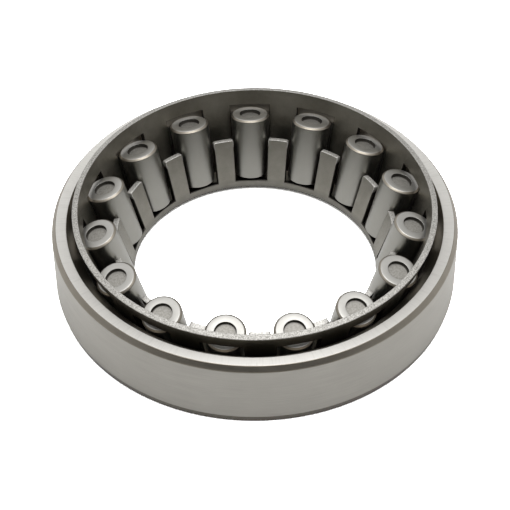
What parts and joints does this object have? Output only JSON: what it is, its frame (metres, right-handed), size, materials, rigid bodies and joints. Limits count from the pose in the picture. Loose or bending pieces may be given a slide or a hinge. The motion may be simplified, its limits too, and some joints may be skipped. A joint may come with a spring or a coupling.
{
  "type": "steering box bearing",
  "caption": "Tapered roller bearing with no inner ring: a ground outer ring, a pressed cage and loose tapered rollers that run straight on the worm shaft of a steering box.",
  "frame": {"origin": "centre of the outer ring's base face, on the bearing's axis", "axes": "+Z along the bearing's axis, from the thick-walled base face to the side where the rollers' large ends and the cage's rim show"},
  "size_m": [0.08, 0.08, 0.0186],
  "materials": {
    "ground_steel": "hardened bearing steel, finely ground",
    "pressed_steel": "mild steel sheet, pressed, dull",
    "roller_steel": "hardened bearing steel, ground, satin"
  },
  "bodies": {
    "outer_ring": {"outer_ring": "ground_steel"},
    "cage": {"cage": "pressed_steel"},
    "roller_01": {"roller_01": "roller_steel"},
    "roller_02": {"roller_02": "roller_steel"},
    "roller_03": {"roller_03": "roller_steel"},
    "roller_04": {"roller_04": "roller_steel"},
    "roller_05": {"roller_05": "roller_steel"},
    "roller_06": {"roller_06": "roller_steel"},
    "roller_07": {"roller_07": "roller_steel"},
    "roller_08": {"roller_08": "roller_steel"},
    "roller_09": {"roller_09": "roller_steel"},
    "roller_10": {"roller_10": "roller_steel"},
    "roller_11": {"roller_11": "roller_steel"},
    "roller_12": {"roller_12": "roller_steel"},
    "roller_13": {"roller_13": "roller_steel"},
    "roller_14": {"roller_14": "roller_steel"},
    "roller_15": {"roller_15": "roller_steel"}
  },
  "joints": [
    {"name": "cage_spin", "type": "hinge", "parent": "outer_ring", "child": "cage", "pos_m": [0, 0, 0], "axis": [0, 0, 1], "continuous": true},
    {"name": "roller_01_spin", "type": "hinge", "parent": "cage", "child": "roller_01", "pos_m": [-0.00082, 0.03127, 0.01511], "axis": [-0.0077, 0.2923, 0.9563], "continuous": true},
    {"name": "roller_02_spin", "type": "hinge", "parent": "cage", "child": "roller_02", "pos_m": [-0.01347, 0.02823, 0.01511], "axis": [-0.1259, 0.2639, 0.9563], "continuous": true},
    {"name": "roller_03_spin", "type": "hinge", "parent": "cage", "child": "roller_03", "pos_m": [-0.02378, 0.02031, 0.01511], "axis": [-0.2223, 0.1899, 0.9563], "continuous": true},
    {"name": "roller_04_spin", "type": "hinge", "parent": "cage", "child": "roller_04", "pos_m": [-0.02999, 0.00888, 0.01511], "axis": [-0.2803, 0.083, 0.9563], "continuous": true},
    {"name": "roller_05_spin", "type": "hinge", "parent": "cage", "child": "roller_05", "pos_m": [-0.03101, -0.00408, 0.01511], "axis": [-0.2899, -0.0382, 0.9563], "continuous": true},
    {"name": "roller_06_spin", "type": "hinge", "parent": "cage", "child": "roller_06", "pos_m": [-0.02667, -0.01634, 0.01511], "axis": [-0.2493, -0.1528, 0.9563], "continuous": true},
    {"name": "roller_07_spin", "type": "hinge", "parent": "cage", "child": "roller_07", "pos_m": [-0.01772, -0.02578, 0.01511], "axis": [-0.1656, -0.241, 0.9563], "continuous": true},
    {"name": "roller_08_spin", "type": "hinge", "parent": "cage", "child": "roller_08", "pos_m": [-0.0057, -0.03076, 0.01511], "axis": [-0.0533, -0.2875, 0.9563], "continuous": true},
    {"name": "roller_09_spin", "type": "hinge", "parent": "cage", "child": "roller_09", "pos_m": [0.0073, -0.03041, 0.01511], "axis": [0.0683, -0.2843, 0.9563], "continuous": true},
    {"name": "roller_10_spin", "type": "hinge", "parent": "cage", "child": "roller_10", "pos_m": [0.01904, -0.02482, 0.01511], "axis": [0.178, -0.232, 0.9563], "continuous": true},
    {"name": "roller_11_spin", "type": "hinge", "parent": "cage", "child": "roller_11", "pos_m": [0.02749, -0.01493, 0.01511], "axis": [0.2569, -0.1395, 0.9563], "continuous": true},
    {"name": "roller_12_spin", "type": "hinge", "parent": "cage", "child": "roller_12", "pos_m": [0.03118, -0.00245, 0.01511], "axis": [0.2915, -0.0229, 0.9563], "continuous": true},
    {"name": "roller_13_spin", "type": "hinge", "parent": "cage", "child": "roller_13", "pos_m": [0.02949, 0.01044, 0.01511], "axis": [0.2756, 0.0976, 0.9563], "continuous": true},
    {"name": "roller_14_spin", "type": "hinge", "parent": "cage", "child": "roller_14", "pos_m": [0.02269, 0.02153, 0.01511], "axis": [0.2121, 0.2013, 0.9563], "continuous": true},
    {"name": "roller_15_spin", "type": "hinge", "parent": "cage", "child": "roller_15", "pos_m": [0.01197, 0.0289, 0.01511], "axis": [0.1119, 0.2701, 0.9563], "continuous": true}
  ],
  "couplings": [
    {"joint": "roller_01_spin", "follows": "cage_spin", "ratio": -8.7761},
    {"joint": "roller_02_spin", "follows": "cage_spin", "ratio": -8.7761},
    {"joint": "roller_03_spin", "follows": "cage_spin", "ratio": -8.7761},
    {"joint": "roller_04_spin", "follows": "cage_spin", "ratio": -8.7761},
    {"joint": "roller_05_spin", "follows": "cage_spin", "ratio": -8.7761},
    {"joint": "roller_06_spin", "follows": "cage_spin", "ratio": -8.7761},
    {"joint": "roller_07_spin", "follows": "cage_spin", "ratio": -8.7761},
    {"joint": "roller_08_spin", "follows": "cage_spin", "ratio": -8.7761},
    {"joint": "roller_09_spin", "follows": "cage_spin", "ratio": -8.7761},
    {"joint": "roller_10_spin", "follows": "cage_spin", "ratio": -8.7761},
    {"joint": "roller_11_spin", "follows": "cage_spin", "ratio": -8.7761},
    {"joint": "roller_12_spin", "follows": "cage_spin", "ratio": -8.7761},
    {"joint": "roller_13_spin", "follows": "cage_spin", "ratio": -8.7761},
    {"joint": "roller_14_spin", "follows": "cage_spin", "ratio": -8.7761},
    {"joint": "roller_15_spin", "follows": "cage_spin", "ratio": -8.7761}
  ]
}
